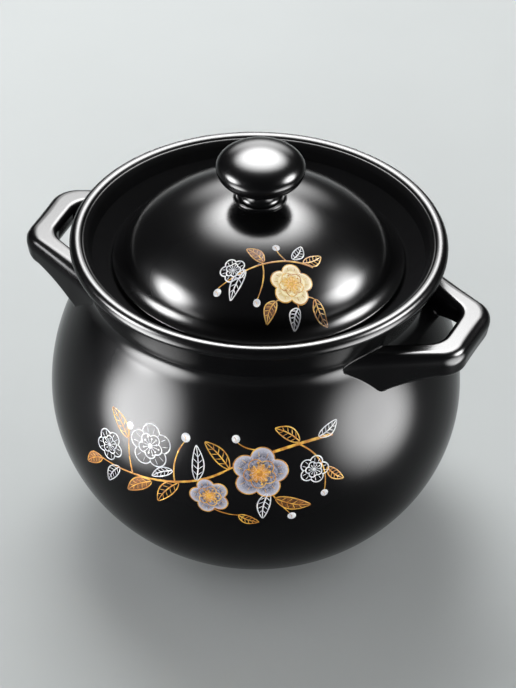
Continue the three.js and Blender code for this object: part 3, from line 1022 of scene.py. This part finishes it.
def print_sheet(name, laying, body, petal_ink, twigs, filled, lined, buds, leaves):
    """Prints one sheet: gold branches and leaves, brown leaf fills, filled blossoms, white drawings.

    leaves are those with gold lines alone, those with brown fills too, and those with white lines."""
    gold_leaves, brown_leaves, white_leaves = leaves
    bud_parts = [bud(*item) for item in buds]
    gold_parts = twig_lines(twigs) + each(leaf_lines, gold_leaves + brown_leaves)
    gold_parts += each(blossom_lines, filled) + each(stamens, filled)
    gold_parts += [line for _, lines in bud_parts for line in lines]
    white_parts = each(blossom_lines, lined) + each(stamens, lined) + each(leaf_lines, white_leaves)
    white_parts += [fill for fills, _ in bud_parts for fill in fills]
    lay(name + "_gold_lines", gold_parts, laying, gold, body)
    lay(name + "_leaf_fills", each(leaf_fill, brown_leaves), laying, brown, body)
    lay(name + "_petals", each(blossom_fill, filled), laying, petal_ink, body)
    lay(name + "_white_lines", white_parts, laying, white, body)


print_sheet("belly", on_belly, "pot", silver, BELLY_TWIGS, BELLY_SILVER, BELLY_WHITE, BELLY_BUDS,
            (BELLY_GOLD_LEAVES, BELLY_BROWN_LEAVES, BELLY_WHITE_LEAVES))
print_sheet("lid", on_lid, "lid", cream, LID_TWIGS, LID_CREAM, LID_WHITE, LID_BUDS,
            (LID_GOLD_LEAVES, LID_BROWN_LEAVES, LID_WHITE_LEAVES))

# Camera: the photograph's frame, with the centre of the lip's top at a known pixel
FRAME_WIDTH = 516
FRAME_HEIGHT = 688
LIP_PIXEL = (259.07, 238.1)
PIXELS_PER_MM = 1.7095
VIEW_TURN = math.radians(23.0)
VIEW_RISE = math.radians(36.7)
VIEW_ROLL = math.radians(1.3)
VIEW_DISTANCE = 4500.0
VIEW_END = 20000.0
SENSOR = 36.0

view_right = Vector((math.cos(VIEW_TURN), math.sin(VIEW_TURN), 0))
view_away = Vector((-math.sin(VIEW_TURN), math.cos(VIEW_TURN), 0))


def make_camera():
    """Long lens turned about the pot's axis, raised, and rolled so that the pot leans to the right."""
    back = Vector((0, 0, math.sin(VIEW_RISE))) - math.cos(VIEW_RISE) * view_away
    roll = Matrix.Rotation(VIEW_ROLL, 3, back)
    right = roll @ view_right
    up = roll @ back.cross(view_right)
    across = (LIP_PIXEL[0] - FRAME_WIDTH / 2) / PIXELS_PER_MM
    above = (FRAME_HEIGHT / 2 - LIP_PIXEL[1]) / PIXELS_PER_MM
    target = Vector((0, 0, LIP_TOP)) - across * right - above * up
    data = bpy.data.cameras.new("camera")
    data.sensor_width = SENSOR
    data.lens = SENSOR * PIXELS_PER_MM * VIEW_DISTANCE / FRAME_HEIGHT
    data.clip_end = VIEW_END * MM
    camera = bpy.data.objects.new("camera", data)
    turn = Matrix((right, up, back)).transposed()
    camera.matrix_world = Matrix.Translation((target + VIEW_DISTANCE * back) * MM) @ turn.to_4x4()
    bpy.context.scene.collection.objects.link(camera)
    bpy.context.scene.camera = camera


make_camera()

# Stage, in metres
FLOOR_HALF = 4.0
ROOM_LIGHT = 0.42
ROOM_GLOSS = 0.06
LIGHT_AIM = Vector((0, 0, 0.14))

# Shares of a light's width and height: its middle, the edge of its even core, and its rim
LIGHT_MIDDLE = (0.5, 0.5, 0)
LIGHT_CORE = 0.12
LIGHT_RIM = 0.5

# Lights, each with degrees to the right of the camera's side, metres from the axis and above the floor,
# metres wide and high, radiance of its middle, and whether it shows in the glaze
LIGHTS = (
    ("key", -168, 0.95, 1.20, 1.40, 1.40, 8, False),
    ("fill", -8, 2.40, 0.35, 1.80, 0.60, 28, False),
    ("left_high", -76, 0.75, 0.53, 0.66, 0.52, 205, True),
    ("left_low", -54.5, 0.275, 0.135, 0.27, 0.31, 88, True),
    ("right_high", 84, 0.72, 0.62, 0.66, 0.56, 190, True),
    ("right_low", 56, 0.275, 0.125, 0.30, 0.28, 62, True),
    ("top_box", 180, 0.66, 1.20, 1.45, 1.38, 130, True),
    ("back_glow", 180, 1.20, 0.72, 1.40, 0.90, 14, True),
)


def pale_floor():
    """Matt painted board: an even pale grey with a faint mottle, no gloss."""
    material, tree, output = new_material("matt_pale_board")
    place = add(tree, "ShaderNodeTexCoord").outputs["Object"]
    mottle = add(tree, "ShaderNodeTexNoise", {"Vector": place}, scale=1 / (MOTTLE_SIZE * MM), detail=3.0)
    colour = blend(tree, mottle.outputs["Fac"], "#bec2c2", "#c4c8c8")
    shader = add(tree, "ShaderNodeBsdfDiffuse", {"Color": colour})
    tree.links.new(shader.outputs["BSDF"], output.inputs["Surface"])
    return material


def make_floor():
    """Square floor under the pot."""
    mesh = bpy.data.meshes.new("floor")
    corners = [(FLOOR_HALF * x, FLOOR_HALF * y, 0) for x, y in ((-1, -1), (1, -1), (1, 1), (-1, 1))]
    mesh.from_pydata(corners, [], [(0, 1, 2, 3)])
    mesh.materials.append(pale_floor())
    floor = bpy.data.objects.new("floor", mesh)
    bpy.context.scene.collection.objects.link(floor)


def softbox(name, turn, reach, height, wide, high, glow, glossy):
    """Oval light facing the pot, fading to nothing at its rim.

    A glossy one only shows in the glaze, and the others only light matt colours."""
    turn = math.radians(turn)
    place = reach * (math.sin(turn) * view_right - math.cos(turn) * view_away) + Vector((0, 0, height))
    data = bpy.data.lights.new(name, "AREA")
    data.shape = "ELLIPSE"
    data.size = wide
    data.size_y = high
    data.energy = math.pi * wide * high * glow
    data.use_nodes = True
    tree = data.node_tree
    spot = add(tree, "ShaderNodeNewGeometry").outputs["Parametric"]
    off = add(tree, "ShaderNodeVectorMath", {0: spot}, operation="DISTANCE")
    off.inputs[1].default_value = LIGHT_MIDDLE
    fade = add(tree, "ShaderNodeMapRange", {"Value": off.outputs["Value"]}, to_min=1, to_max=0,
               from_min=LIGHT_CORE, from_max=LIGHT_RIM, interpolation_type="SMOOTHSTEP")
    tree.links.new(fade.outputs["Result"], tree.nodes["Emission"].inputs["Strength"])
    light = bpy.data.objects.new(name, data)
    light.location = place
    light.rotation_euler = (place - LIGHT_AIM).to_track_quat("Z", "Y").to_euler()
    light.visible_camera = False
    light.visible_diffuse = not glossy
    light.visible_glossy = glossy
    bpy.context.scene.collection.objects.link(light)


def make_room():
    """Even room light, lower where the glaze mirrors it."""
    world = bpy.data.worlds.new("studio")
    bpy.context.scene.world = world
    world.use_nodes = True
    tree = world.node_tree
    path = add(tree, "ShaderNodeLightPath")
    level = add(tree, "ShaderNodeMapRange", {"Value": path.outputs["Is Glossy Ray"]},
                to_min=ROOM_LIGHT, to_max=ROOM_GLOSS)
    tree.links.new(level.outputs["Result"], tree.nodes["Background"].inputs["Strength"])
    tree.nodes["Background"].inputs["Color"].default_value = (1, 1, 1, 1)


make_room()
for light_row in LIGHTS:
    softbox(*light_row)
make_floor()

bpy.context.scene.view_settings.view_transform = "Standard"
